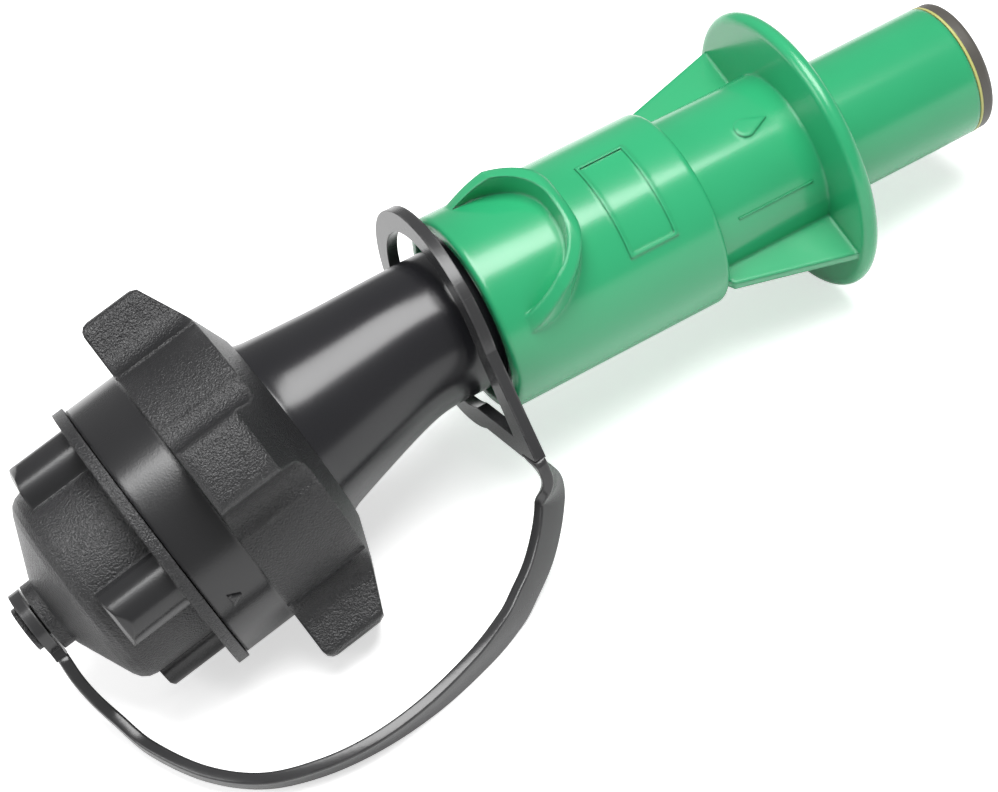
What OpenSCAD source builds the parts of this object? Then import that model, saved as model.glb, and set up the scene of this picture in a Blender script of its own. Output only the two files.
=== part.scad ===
// Quick-fill pouring spout for a liquid canister, lying on a bench as it is stored.
// The sleeve axis runs from the storage cap to the nose; the neck bends it by bend_angle.
// Origin: where the sleeve axis crosses the front face of the flange. +X runs towards the
// nose, level with the bench, and +Z is up from the bench that the flange and nut lie on.
// Lengths along an axis are negative behind the origin (sleeve) or behind the bend (nut side).

/* [Sleeve] */
// Outside diameter of the nose tube, the part that enters the tank
nose_d = 25; // [22:0.5:30]
// Length of the nose tube ahead of the flange
nose_len = 32; // [24:1:40]
// Diameter of the flange that stops on the tank's filler neck
flange_d = 53.6; // [46:0.2:64]
// Thickness of the flange
flange_t = 3; // [2:0.5:5]
// Diameter of the collar between flange and main body
collar_d = 31; // [29:0.5:34]
// Length of the collar behind the flange
collar_len = 22.7; // [18:0.1:28]
// Diameter of the main body
body_d = 37; // [36:0.5:44]
// Length of the main body
body_len = 43.5; // [36:0.5:52]
// Wall of the main body
body_wall = 2.2; // [1.6:0.1:2.6]
// Number of ribs that brace the flange
rib_count = 2; // [2:2:4]
// Thickness of one rib
rib_t = 1.8; // [1.2:0.1:3]
// How far the ribs stop short of the flange's rim
rib_setback = 1.8; // [1:0.2:4]
// Roll of the sleeve about its axis, from upright
sleeve_roll = 24; // [0:1:45]

/* [Thumb guard] */
// Height of the guard above the main body
guard_h = 4.7; // [3:0.1:6]
// Thickness of the guard's wall
guard_wall = 2.4; // [1.4:0.1:3]
// Width across the guard
guard_w = 29; // [24:0.5:32]
// Corner radius of the guard, outside
guard_corner = 13; // [8:0.5:13.5]
// Distance of the guard's front from the flange face
guard_front = 49.4; // [48:0.1:54]
// Length of the guard along the sleeve
guard_len = 16.6; // [14:0.2:20]

/* [Markings] */
// Height of the raised label frame and droplet
mark_h = 0.35; // [0.2:0.05:0.6]
// Length of the label frame around the body
label_w = 19; // [14:0.5:22]
// Width of the label frame along the body
label_len = 9.6; // [7:0.2:12]
// Line width of the label frame
label_line = 0.6; // [0.4:0.1:1]
// Length of the raised droplet
droplet_len = 6.4; // [4:0.2:8]

/* [Pouring tube] */
// Outside diameter of the inner pouring tube
tube_d = 20.6; // [18:0.2:21]
// Wall of the pouring tube
tube_wall = 1.3; // [1:0.1:1.8]
// Gap on the radius between the tube and what slides on it
slide_gap = 0.3; // [0.2:0.05:0.5]
// How far the sleeve slides back to open the ports
stroke = 10; // [6:0.5:12]
// Length of the outlet ports along the tube
port_len = 7; // [4:0.5:8]
// Thickness of the yellow face seal
seal_t = 0.5; // [0.4:0.1:1.4]
// Length of the valve head ahead of the seal
head_len = 2.6; // [2.2:0.2:6]
// Outside diameter of the air tube inside the pouring tube
air_d = 6; // [4:0.2:8]
// Wall of the air tube
air_wall = 0.8; // [0.5:0.1:1.2]

/* [Return spring] */
// Wire diameter of the spring
wire_d = 1.2; // [0.8:0.1:1.6]
// Number of turns
spring_turns = 7; // [5:0.5:9]

/* [Neck] */
// Angle between the nut's axis and the sleeve's axis
bend_angle = 13; // [0:1:20]
// Distance of the bend from the flange face
bend_x = 82; // [82:0.5:90]
// Diameter of the neck where the sleeve slides on it
spigot_d = 26.4; // [25:0.2:27]
// Diameter of the neck where it enters the union nut
neck_root_d = 35.6; // [32:0.2:38]
// Distance from the bend to the back of the union nut
neck_len = 23; // [18:0.5:30]
// Wall of the neck
neck_wall = 2.2; // [1.6:0.1:3]
// Diameter of the neck's flange inside the nut
neck_flange_d = 43; // [41:0.5:44]
// Thickness of the neck's flange
neck_flange_t = 3; // [2:0.5:4]

/* [Union nut] */
// Outside diameter of the nut's smooth skirt
skirt_d = 51.2; // [49:0.2:56]
// Length of the nut from its back to the end of the skirt
nut_len = 29; // [27:0.5:36]
// Length of the smooth skirt
skirt_len = 10; // [8:0.5:14]
// Diameter of the thread space inside the nut
thread_d = 44.4; // [43.5:0.1:45]
// Diameter across the tips of the wings
wing_d = 71; // [64:0.5:80]
// Width of one wing
wing_w = 12.3; // [9:0.1:14]
// Number of wings
wing_count = 4; // [4:4:8]
// Length of a wing at its tip
wing_tip_len = 12; // [9:0.5:14]

/* [Storage cap] */
// Diameter of the cap's flange
cap_flange_d = 52.8; // [51:0.2:58]
// Thickness of the cap's flange
cap_flange_t = 2.1; // [1.5:0.1:3]
// Diameter of the cap's body
cap_d = 38.6; // [34:0.2:42]
// Length of the cap's body behind its flange
cap_len = 15; // [12:0.5:20]
// Length of the cone that closes the cap
cap_cone_len = 4.6; // [3:0.2:8]
// Radius of the grip lobes
lobe_r = 5.6; // [4:0.1:7]
// Number of grip lobes
lobe_count = 4; // [3:1:6]
// Gap on the radius between the cap's plug and the nut's thread space
thread_gap = 0.4; // [0.3:0.05:0.6]
// Diameter of the collar that carries the stud
stud_collar_d = 13; // [10:0.5:15]
// Diameter of the stud that holds the tether
stud_d = 6; // [4:0.2:7]

/* [Tether] */
// Inside diameter of the flat ring around the neck
ring_bore = 34; // [33:0.5:36]
// Radial width of the ring around the neck
ring_w = 4; // [3:0.1:5]
// How far the ring's two arms reach beyond the ring, where they meet the strap
tab_reach = 10; // [8:0.5:12]
// Thickness of the tether: both its rings and its strap
strap_t = 2.1; // [1.6:0.1:2.6]
// Width of the tether strap
strap_w = 6; // [4:0.2:7]

/* [Hidden] */
$fn = 96;

green = "#3fae78";
gloss_black = "#1b1b1d";
grain_black = "#2a2a2b";
rubber_black = "#151515";
steel = "#b9bcc0";
seal_yellow = "#d8c04a";

eps = 0.01;          // overlap that makes a union or a cut clean
seat_gap = 0.2;      // space between faces of bodies that move apart
small_round = 1;     // usual edge rounding of the mouldings

// --- sleeve, measured along its axis from the flange face ---
nose_r = nose_d / 2;
body_r = body_d / 2;
collar_r = collar_d / 2;
flange_r = flange_d / 2;
tube_r = tube_d / 2;
slide_r = tube_r + slide_gap;
step_x = -flange_t - collar_len;
sleeve_rear = step_x - body_len;
chamber_r = body_r - body_wall;
web_t = 3;                              // web that the spring pushes on
web_rear = step_x - 1.3;
web_front = web_rear + web_t;
relief_r = collar_r - body_wall;
relief_front = -flange_t - 1;
wiper_len = 2.4;
label_x = -38.4;
label_turn = -9;                        // label centre, turned from the guard's centre
droplet_x = -12.5;
guard_r = body_r + guard_h;

// --- pouring tube and valve ---
spigot_r = spigot_d / 2;
bush_len = 5;
spigot_front = sleeve_rear + bush_len + stroke + 2;
tube_rear = spigot_front - 18;
seal_x = nose_len + seat_gap;
head_rear = seal_x + seal_t;
head_r = nose_r - 0.1;
head_plug = 5;
port_front = nose_len - 1.5;
spider_x = [-44, 14];
spider_t = 2.5;
air_rear = tube_rear + 4;
air_front = head_rear + head_len;
seat_t = 1;
washer_t = 1;
spring_rear = spigot_front + seat_t;
spring_front = web_rear - washer_t;
spring_r = (tube_r + chamber_r) / 2;

// --- nut side, measured along the nut's axis from the bend ---
neck_r = neck_root_d / 2;
nut_back = -neck_len;
shoulder_t = 5;
shoulder_x = nut_back - shoulder_t;
neck_flange_back = shoulder_x - seat_gap;
neck_mouth = neck_flange_back - neck_flange_t;
gasket_t = 1.8;
gasket_bore_r = neck_r - neck_wall - 0.6;
skirt_end = nut_back - nut_len;
skirt_back = skirt_end + skirt_len;
wing_front = skirt_back;
wing_r = wing_d / 2;
skirt_r = skirt_d / 2;
hub_r = skirt_r + 0.4;
thread_r = thread_d / 2;
cap_face = skirt_end - seat_gap;
cap_back = cap_face - cap_flange_t;
cap_corner = cap_back - cap_len;
cap_r = cap_d / 2;
cap_end = cap_corner - cap_cone_len;
cap_wall = 2;
plug_r = thread_r - thread_gap;
plug_end = neck_mouth - gasket_t - seat_gap - gasket_t;
stud_collar_t = 2.2;
stud_collar_end = cap_end - stud_collar_t;
stud_ring_x = stud_collar_end - seat_gap * 2;
stud_end = stud_ring_x - strap_t - seat_gap;
stud_head_t = 0.9;
wing_turn = 45;       // wings stand on the bench two by two
lobe_turn = 71;       // lobes as the cap stops, from the top
lobe_round = 2;

// --- how it lies: the flange's rim and the corners of two wings touch the bench ---
wing_corner_deg = asin(wing_w / 2 / wing_r);
wing_drop = wing_r * cos(180 / wing_count - wing_corner_deg);
touch_x = -bend_x + wing_front * cos(bend_angle) + wing_drop * sin(bend_angle);
touch_z = wing_front * sin(bend_angle) - wing_drop * cos(bend_angle);
lie_pitch = atan((-flange_r - touch_z) / (-flange_t / 2 - touch_x));

// --- tether ---
ring_front = sleeve_rear - 2.6;
ring_r = ring_bore / 2 + ring_w;
ring_shift = 1;       // the loose ring hangs off the neck's axis by this, both ways
ring_turn = 115;      // the neck ring's arms point towards the front of the bench
tab_turn = 142;       // the stud ring's tab points down towards the front of the bench
stud_ring_r = 6.4;
strap_gap = 0.65;
strap_dip = [0, -0.45, -0.89];   // direction in which the strap leaves the neck ring

// --- the same placing as the modules below, for points ---
function turned_down(p, a) = [p[0] * cos(a) + p[2] * sin(a), p[1], p[2] * cos(a) - p[0] * sin(a)];
function level(p) = turned_down(p, lie_pitch);
function nut_level(p) = level([-bend_x, 0, 0]) + turned_down(p, lie_pitch - bend_angle);
function outward(a, r) = [0, -r * sin(a), r * cos(a)];
strap_start = level([ring_front - strap_t / 2, ring_shift, ring_shift]
                    + outward(ring_turn, ring_r + tab_reach)) + strap_gap * strap_dip;
strap_end = nut_level([stud_ring_x - strap_t / 2, 0, 0]
                      + outward(tab_turn, stud_ring_r + 1 + strap_gap));

// Course of the strap between the rings: how far along, and how far off the straight line
strap_course = [
    [0, 0, 0], [-0.006, -1.1, -4.1], [0.008, -1.5, -8.6], [0.044, -4.4, -12], [0.094, -8.3, -14.6],
    [0.15, -12, -16.4], [0.21, -16.1, -17.2], [0.308, -21.7, -17.1], [0.44, -27.4, -16.8],
    [0.571, -31, -16.4], [0.69, -31.8, -16.1], [0.797, -29.7, -15.8], [0.882, -23.3, -15.4],
    [0.944, -13.5, -14.7], [0.972, -7.2, -11.2], [0.989, -4.3, -7.2], [0.998, -2.2, -3.2], [1, 0, 0]
];
strap_route = [for (c = strap_course)
    strap_start + c[0] * (strap_end - strap_start) + [0, c[1], c[2]]];
// Direction of the strap's width, from a point of the course on
strap_lean = [
    [0, [0, -0.89, 0.45]], [1, [-0.4, -0.62, 0.66]], [2, [-0.71, -0.2, 0.67]], [5, [-0.62, -0.3, 0.75]],
    [8, [-0.45, -0.4, 0.8]], [10, [-0.1, -0.5, 0.85]], [13, [0, -0.62, 0.78]], [17, [0, -0.79, 0.62]]
];

// ------------------------------------------------------------------ placing
// Things drawn along +X about the sleeve's axis, on the bench
module on_sleeve_axis() rotate([0, lie_pitch, 0]) children();

// The same, rolled with the sleeve
module on_sleeve() on_sleeve_axis() rotate([sleeve_roll, 0, 0]) children();

// Things drawn along +X about the nut's axis, from the bend
module on_nut_axis()
    on_sleeve_axis() translate([-bend_x, 0, 0]) rotate([0, -bend_angle, 0]) children();

// A solid of revolution about X; the outline's points are [radius, x]
module turned(outline) rotate([0, 90, 0]) rotate_extrude() polygon(outline);

// A plain rod along X from x0 to x1
module rod(r, x0, x1) translate([x0, 0, 0]) rotate([0, 90, 0]) cylinder(r = r, h = x1 - x0);

// A tube along X
module pipe(r_out, r_in, x0, x1) difference() {
    rod(r_out, x0, x1);
    rod(r_in, x0 - 1, x1 + 1);
}

// A rounded rim about X: a bead of radius b whose outside is r
module bead(r, b, x) translate([x, 0, 0]) rotate([0, 90, 0]) rotate_extrude()
    translate([r - b, 0]) circle(b, $fn = 32);

// An outline in the plane across X, drawn out from x0 to x1; the outline's +Y is up (+Z)
module across_x(x0, x1) translate([x0, 0, 0]) rotate([90, 0, 90])
    linear_extrude(x1 - x0) children();

// ------------------------------------------------------------------ sleeve
// Body, collar, flange and nose tube, bored through
module sleeve_shell() difference() {
    union() {
        rod(body_r - small_round, sleeve_rear, step_x);
        rod(body_r, sleeve_rear + small_round, step_x - small_round);
        bead(body_r, small_round, sleeve_rear + small_round);
        bead(body_r, small_round, step_x - small_round);
        rod(collar_r, step_x - eps, -eps);
        rod(flange_r - flange_t / 2, -flange_t, 0);
        bead(flange_r, flange_t / 2, -flange_t / 2);
        rod(nose_r, -eps, nose_len);
    }
    rod(chamber_r, sleeve_rear - 1, web_rear);
    rod(slide_r, web_rear - 1, nose_len + 1);
    rod(relief_r, web_front, relief_front);
}

// Plan of the thumb guard, seen along its height; grown or shrunk by d
module guard_plan(d) {
    half = guard_w / 2;
    side = half - guard_corner;
    corner_x = -guard_front - guard_corner;
    for (s = [-1, 1]) translate([corner_x, s * side]) circle(guard_corner + d);
    translate([corner_x, -side]) square([guard_corner + d, 2 * side]);
    translate([corner_x - guard_len, -half - d]) square([guard_len, 2 * (half + d)]);
}

// Thumb guard: a wall round three sides of a rest, falling away to the rear
module thumb_guard() intersection() {
    difference() {
        linear_extrude(guard_r + 1) guard_plan(0);
        translate([0, 0, -1]) linear_extrude(guard_r + 3) guard_plan(-guard_wall);
        rod(chamber_r + body_wall / 2, sleeve_rear - 1, 0);
    }
    rear = -guard_front - guard_len;
    union() {
        turned([[0, rear], [body_r - 1, rear], [guard_r, rear + guard_len / 2],
                [guard_r, -guard_front - small_round * 2], [guard_r - small_round * 2, -guard_front],
                [0, -guard_front]]);
        bead(guard_r, small_round * 2, -guard_front - small_round * 2);
    }
}

// A skin of the given height on a drum, from x0 to x1, that markings are cut from
module skin(r, h, x0, x1) pipe(r + h, r - 0.5, x0, x1);

// Raised frame of a blank label
module label_frame() rotate([-label_turn, 0, 0]) intersection() {
    skin(body_r, mark_h, label_x - label_len, label_x + label_len);
    linear_extrude(guard_r) translate([label_x, 0]) difference() {
        square([label_len, label_w], center = true);
        square([label_len - 2 * label_line, label_w - 2 * label_line], center = true);
    }
}

// Raised plain droplet, its point towards the nose
module droplet() intersection() {
    skin(collar_r, mark_h, droplet_x - droplet_len, droplet_x + droplet_len);
    drop_r = droplet_len / 3.4;
    linear_extrude(guard_r) translate([droplet_x, 0]) {
        circle(drop_r);
        polygon([[drop_r * 0.4, drop_r * 0.9], [droplet_len - drop_r, 0],
                 [drop_r * 0.4, -drop_r * 0.9]]);
    }
}

// Ribs that brace the flange from behind
module ribs() {
    root = relief_r + 1;
    for (i = [0:rib_count - 1])
        rotate([90 + i * 360 / rib_count, 0, 0]) translate([0, rib_t / 2, 0]) rotate([90, 0, 0])
            linear_extrude(rib_t)
                polygon([[step_x - 0.5, root], [step_x - 0.5, body_r - small_round],
                         [step_x + 0.6, body_r + 0.6],
                         [-flange_t + 0.5, flange_r - rib_setback], [-flange_t + 0.5, root]]);
}

module sleeve() color(green) on_sleeve() {
    sleeve_shell();
    thumb_guard();
    label_frame();
    droplet();
    ribs();
}

// Bush in the sleeve's rear end, which slides on the neck
module guide_bush() color(gloss_black) on_sleeve()
    pipe(chamber_r, spigot_r + slide_gap, sleeve_rear + small_round, sleeve_rear + bush_len);

// Lip seal behind the flange, which wipes the pouring tube
module wiper_seal() color(rubber_black) on_sleeve()
    pipe(relief_r, slide_r, relief_front - wiper_len, relief_front);

// Washer between the spring and the sleeve's web
module spring_washer() color(steel) on_sleeve()
    pipe(chamber_r - slide_gap, slide_r, web_rear - washer_t, web_rear);

// ------------------------------------------------------------------ fixed tube assembly
// Outside of the neck; shrunk by d it is the passage
module neck_form(d) {
    on_nut_axis() turned([[0, neck_mouth - (d > 0 ? 1 : 0)], [neck_r - d, neck_mouth - (d > 0 ? 1 : 0)],
                          [neck_r - d, nut_back], [spigot_r - d, 0], [0, 0]]);
    on_sleeve_axis() translate([-bend_x, 0, 0]) sphere(spigot_r - d);
}

// Neck: flange in the nut, tapering throat, bend and the spigot that the sleeve slides on
module neck() color(gloss_black) difference() {
    union() {
        neck_form(0);
        on_sleeve_axis() rod(spigot_r, -bend_x, spigot_front);
        on_nut_axis() rod(neck_flange_d / 2, neck_mouth, neck_flange_back);
    }
    neck_form(neck_wall);
    on_sleeve_axis() rod(tube_r, tube_rear, spigot_front + 1);
    on_sleeve_axis() rod(tube_r - tube_wall, -bend_x, tube_rear + 1);
}

// Ports cut through the front of the pouring tube
module ports() for (a = [45, 135]) rotate([a, 0, 0])
    translate([port_front - port_len, -tube_r * 0.42, -tube_r - 1])
        cube([port_len, tube_r * 0.84, tube_d + 2]);

module pouring_tube() color(gloss_black) on_sleeve_axis() difference() {
    pipe(tube_r, tube_r - tube_wall, tube_rear, head_rear);
    ports();
}

// Black head that the sleeve closes against; its middle lets air back in
module valve_head() color(grain_black) on_sleeve_axis() difference() {
    union() {
        rod(head_r, head_rear, air_front - small_round);
        rod(head_r - small_round, head_rear, air_front);
        bead(head_r, small_round, air_front - small_round);
        rod(tube_r - tube_wall, head_rear - head_plug, head_rear + eps);
    }
    rod(air_d / 2, head_rear - head_plug - 1, air_front + 1);
}

// Yellow face seal under the head
module face_seal() color(seal_yellow) on_sleeve_axis()
    pipe(nose_r, tube_r, seal_x, head_rear);

module air_tube() color(gloss_black) on_sleeve_axis()
    pipe(air_d / 2, air_d / 2 - air_wall, air_rear, air_front - small_round);

// Three-armed holders that centre the air tube
module tube_spiders() color(gloss_black) on_sleeve_axis() for (x = spider_x) {
    pipe(tube_r - tube_wall, tube_r - tube_wall - 1.2, x, x + spider_t);
    pipe(air_d / 2 + 1.2, air_d / 2, x, x + spider_t);
    for (a = [0:120:240]) rotate([a, 0, 0])
        translate([x, -0.6, air_d / 2 + 0.8])
            cube([spider_t, 1.2, tube_r - tube_wall - 0.9 - air_d / 2 - 0.8]);
}

// Ring on the tube that stops the sleeve's web
module stop_ring() color(steel) on_sleeve_axis()
    pipe(tube_r + 2, tube_r, web_front + seat_gap, web_front + seat_gap + 1.2);

// Washer on the end of the spigot
module spring_seat() color(steel) on_sleeve_axis()
    pipe(spigot_r, tube_r, spigot_front, spring_rear);

// A swept solid: rings of points joined side to side and closed at both ends
module swept(rings) {
    n = len(rings[0]);
    m = len(rings);
    pts = [for (ring = rings) each ring];
    sides = [for (j = [0:m - 2], i = [0:n - 1])
        [j * n + i, j * n + (i + 1) % n, (j + 1) * n + (i + 1) % n, (j + 1) * n + i]];
    polyhedron(pts, concat(sides, [[for (i = [n - 1:-1:0]) i]],
                           [[for (i = [0:n - 1]) (m - 1) * n + i]]), convexity = 6);
}

// Ring of the spring's wire at t of its length, 0 to 1
function wire_ring(t) =
    let (a = 360 * spring_turns * t,
         x = spring_rear + wire_d / 2 + t * (spring_front - spring_rear - wire_d))
    [for (k = [0:45:315]) let (r = spring_r + wire_d / 2 * cos(k))
        [x + wire_d / 2 * sin(k), r * cos(a), r * sin(a)]];

module return_spring() color(steel) on_sleeve_axis()
    swept([for (i = [0:18 * spring_turns]) wire_ring(i / (18 * spring_turns))]);

// ------------------------------------------------------------------ nut side
// Strainer disc clipped into the neck's mouth
module inlet_strainer() color(steel) on_nut_axis() difference() {
    rod(neck_r - neck_wall, neck_mouth + 1, neck_mouth + 2);
    for (ring = [1:4], k = [0:ring * 6 - 1]) rotate([k * 60 / ring, 0, 0])
        translate([0, 0, ring * (neck_r - neck_wall) / 4.9]) rod(1.1, neck_mouth, neck_mouth + 3, $fn = 16);
}

// Flat gasket that the canister's mouth, or the stored cap, seals on
module neck_gasket() color(rubber_black) on_nut_axis()
    pipe(neck_flange_d / 2, gasket_bore_r, neck_mouth - gasket_t, neck_mouth);

// Outline across the nut: hub, wings and the fillets at their roots
module wing_outline() {
    fillet = 5;
    tip_round = 1.6;
    half = wing_w / 2;
    circle(hub_r);
    for (i = [0:wing_count - 1]) rotate(wing_turn + i * 360 / wing_count) {
        intersection() {
            union() {
                translate([-half, 0]) square([wing_w, wing_r - tip_round - 0.4]);
                translate([tip_round - half, 0]) square([wing_w - 2 * tip_round, wing_r]);
                for (s = [-1, 1]) translate([s * (half - tip_round), wing_r - tip_round - 0.4])
                    circle(tip_round);
            }
            circle(wing_r);
        }
        root = sqrt(pow(hub_r + fillet, 2) - pow(half + fillet, 2));
        for (s = [0, 1]) mirror([s, 0]) difference() {
            translate([half - eps, hub_r * 0.7]) square([fillet + eps, root - hub_r * 0.7]);
            translate([half + fillet, root]) circle(fillet);
        }
    }
}

// Union nut: winged grip, smooth skirt, thread space and the shoulder behind the neck's flange
module union_nut() color(grain_black) on_nut_axis() difference() {
    union() {
        rod(skirt_r, skirt_end, skirt_back + 1);
        intersection() {
            across_x(wing_front, nut_back) wing_outline();
            turned([[0, wing_front], [wing_r - 1.8, wing_front], [wing_r - 0.9, wing_front + 0.25],
                    [wing_r - 0.25, wing_front + 0.9], [wing_r, wing_front + 1.8],
                    [wing_r, wing_front + wing_tip_len - 1.2], [wing_r - 0.5, wing_front + wing_tip_len],
                    [hub_r, nut_back - 2.8], [neck_r + 1.6, nut_back - 0.25],
                    [neck_r + 0.9, nut_back], [0, nut_back]]);
        }
    }
    rod(thread_r, skirt_end - 1, shoulder_x);
    rod(neck_r + slide_gap + 0.3, shoulder_x - 1, nut_back + 1);
    turned([[0, nut_back + 3], [neck_r + 4, nut_back + 3],
            [neck_r + 0.6, nut_back - 0.8], [0, nut_back - 0.8]]);
}

// Half-round grip lobes round the cap
module lobes() for (i = [0:lobe_count - 1])
    rotate([lobe_turn + i * 360 / lobe_count, 0, 0]) translate([0, 0, cap_r - 0.3])
        rod(lobe_r, cap_corner, cap_back + eps);

// Storage cap: screws into the nut, and its stud holds the tether
module storage_cap() color(grain_black) on_nut_axis() {
    lobe_end = cap_corner + 3.4;
    lobe_top = cap_r - 0.3 + lobe_r;
    difference() {
        union() {
            rod(cap_flange_d / 2, cap_back, cap_face);
            rod(plug_r, cap_face - eps, plug_end);
            turned([[0, cap_back + eps], [cap_r, cap_back + eps], [cap_r, cap_corner + 3],
                    [cap_r - 0.35, cap_corner + 1.6], [cap_r - 1.1, cap_corner + 0.5],
                    [cap_r - 2.3, cap_corner - 0.3],
                    [stud_collar_d / 2 + 0.5, cap_end], [0, cap_end]]);
            intersection() {
                lobes();
                turned([[0, cap_back], [lobe_top + 1, cap_back], [lobe_top + 1, lobe_end + lobe_round],
                        [lobe_top, lobe_end + lobe_round], [lobe_top - 0.6, lobe_end + 0.6],
                        [lobe_top - lobe_round, lobe_end], [0, lobe_end - 1.2]]);
            }
        }
        turned([[0, plug_end + 1], [plug_r - cap_wall, plug_end + 1], [plug_r - cap_wall, cap_face],
                [cap_r - cap_wall, cap_face - 3], [cap_r - cap_wall, cap_corner + cap_wall],
                [0, cap_end + cap_wall]]);
    }
    rod(stud_collar_d / 2, stud_collar_end, cap_end + eps);
    rod(stud_d / 2, stud_end - stud_head_t, stud_collar_end + eps);
    rod(stud_d / 2 + 1.2, stud_end - stud_head_t, stud_end);
}

// Gasket on the end of the cap's plug
module cap_gasket() color(rubber_black) on_nut_axis()
    pipe(plug_r, gasket_bore_r, plug_end, plug_end + gasket_t);

// ------------------------------------------------------------------ tether
// Flat ring that hangs loose round the neck; its two arms meet in a tab
module tether_neck_ring() color(gloss_black) on_sleeve_axis()
    translate([0, ring_shift, ring_shift]) rotate([ring_turn, 0, 0]) {
        base = ring_r * 0.38;
        outer = 0.97 * sqrt(ring_r * ring_r - base * base);
        inner = 0.95 * sqrt(ring_bore * ring_bore / 4 - base * base);
        reach = ring_r + tab_reach;
        difference() {
            union() {
                rod(ring_r, ring_front - strap_t, ring_front);
                across_x(ring_front - strap_t, ring_front)
                    polygon([[-outer, base], [-strap_w * 0.39, reach - strap_w * 0.31],
                             [strap_w * 0.39, reach + strap_w * 0.31], [outer, base]]);
            }
            rod(ring_bore / 2, ring_front - strap_t - 1, ring_front + 1);
            across_x(ring_front - strap_t - 1, ring_front + 1)
                polygon([[-inner, base], [0, reach - 5], [inner, base]]);
        }
    }

// Flat ring on the cap's stud, with a short tab
module tether_stud_ring() color(gloss_black) on_nut_axis() rotate([tab_turn, 0, 0])
    difference() {
        across_x(stud_ring_x - strap_t, stud_ring_x) {
            circle(stud_ring_r);
            translate([-strap_w / 2, 0]) square([strap_w, stud_ring_r + 1]);
        }
        rod(stud_d / 2 + slide_gap, stud_ring_x - strap_t - 1, stud_ring_x + 1);
    }

// A smooth curve through the route's points (Catmull-Rom), at u from 0 to the last index
function clamp_i(i) = max(0, min(len(strap_route) - 1, i));
function strap_point(u) =
    let (i = min(floor(u), len(strap_route) - 2), t = u - i,
         a = strap_route[clamp_i(i - 1)], b = strap_route[i],
         c = strap_route[i + 1], d = strap_route[clamp_i(i + 2)])
    0.5 * (2 * b + (c - a) * t + (2 * a - 5 * b + 4 * c - d) * t * t
           + (3 * b - a - 3 * c + d) * t * t * t);
function unit(v) = v / norm(v);
function strap_width_dir(u) = [for (k = [0:2]) lookup(u, [for (l = strap_lean) [l[0], l[1][k]]])];
function strap_ring(u) =
    let (last = len(strap_route) - 1, p = strap_point(u),
         q = strap_point(min(last, u + 0.05)), o = strap_point(max(0, u - 0.05)),
         t = unit(q - o), side = unit(cross(strap_width_dir(u), t)), w = cross(t, side))
    [p + w * strap_w / 2 + side * strap_t / 2, p + w * strap_w / 2 - side * strap_t / 2,
     p - w * strap_w / 2 - side * strap_t / 2, p - w * strap_w / 2 + side * strap_t / 2];

// Strap between the two rings, looping over the bench in front
module tether_strap() color(gloss_black)
    swept([for (u = [0:0.25:len(strap_route) - 1]) strap_ring(u)]);

sleeve();
guide_bush();
wiper_seal();
spring_washer();
neck();
pouring_tube();
valve_head();
face_seal();
air_tube();
tube_spiders();
stop_ring();
return_spring();
spring_seat();
inlet_strainer();
neck_gasket();
union_nut();
storage_cap();
cap_gasket();
tether_neck_ring();
tether_stud_ring();
tether_strap();
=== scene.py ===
"""Looks of a bent quick-fill pouring spout: camera, light, finishes and the moulded tether."""

import logging
import math
from dataclasses import dataclass, field
from enum import Enum

import bmesh
import bpy
from mathutils import Matrix, Vector


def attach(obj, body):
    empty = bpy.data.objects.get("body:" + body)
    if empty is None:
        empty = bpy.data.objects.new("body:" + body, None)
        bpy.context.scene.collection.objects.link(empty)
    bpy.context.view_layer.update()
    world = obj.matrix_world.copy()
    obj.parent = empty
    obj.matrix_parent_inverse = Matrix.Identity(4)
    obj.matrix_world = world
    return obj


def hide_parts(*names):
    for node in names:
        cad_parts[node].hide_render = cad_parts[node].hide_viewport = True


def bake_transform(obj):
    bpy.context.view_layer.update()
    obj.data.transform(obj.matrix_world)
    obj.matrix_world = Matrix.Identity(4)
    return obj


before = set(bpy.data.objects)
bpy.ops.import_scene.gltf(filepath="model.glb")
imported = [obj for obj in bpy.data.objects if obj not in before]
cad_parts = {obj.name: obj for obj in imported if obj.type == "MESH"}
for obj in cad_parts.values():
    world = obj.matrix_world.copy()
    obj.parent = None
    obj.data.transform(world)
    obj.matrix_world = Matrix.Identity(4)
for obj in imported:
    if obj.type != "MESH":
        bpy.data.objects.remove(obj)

LOG = logging.getLogger("spout")
MM = 0.001

# Where the polished faces begin, along and around the nut's axis: off, full
SKIRT_STARTS = (-41.6 * MM, -42.2 * MM)
LOBES_START = (-54.2 * MM, -54.5 * MM)
LOBES_OUTSIDE = (19.4 * MM, 19.8 * MM)


class Group(Enum):
    """Names of the shader node groups that several finishes share."""

    GRAIN = "Eroded grain"
    # Lighter edges: a painted highlight along moulded edges, broken up by noise.
    EDGE_HIGHLIGHT = "Highlighted edges"
    DRIFT = "Slow drift"


class Region(Enum):
    """Where a finish differs on one moulding, measured along and around its axis."""

    NONE = "none"
    NUT_SKIRT = "nut skirt"
    CAP_LOBES = "cap lobes"


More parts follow.
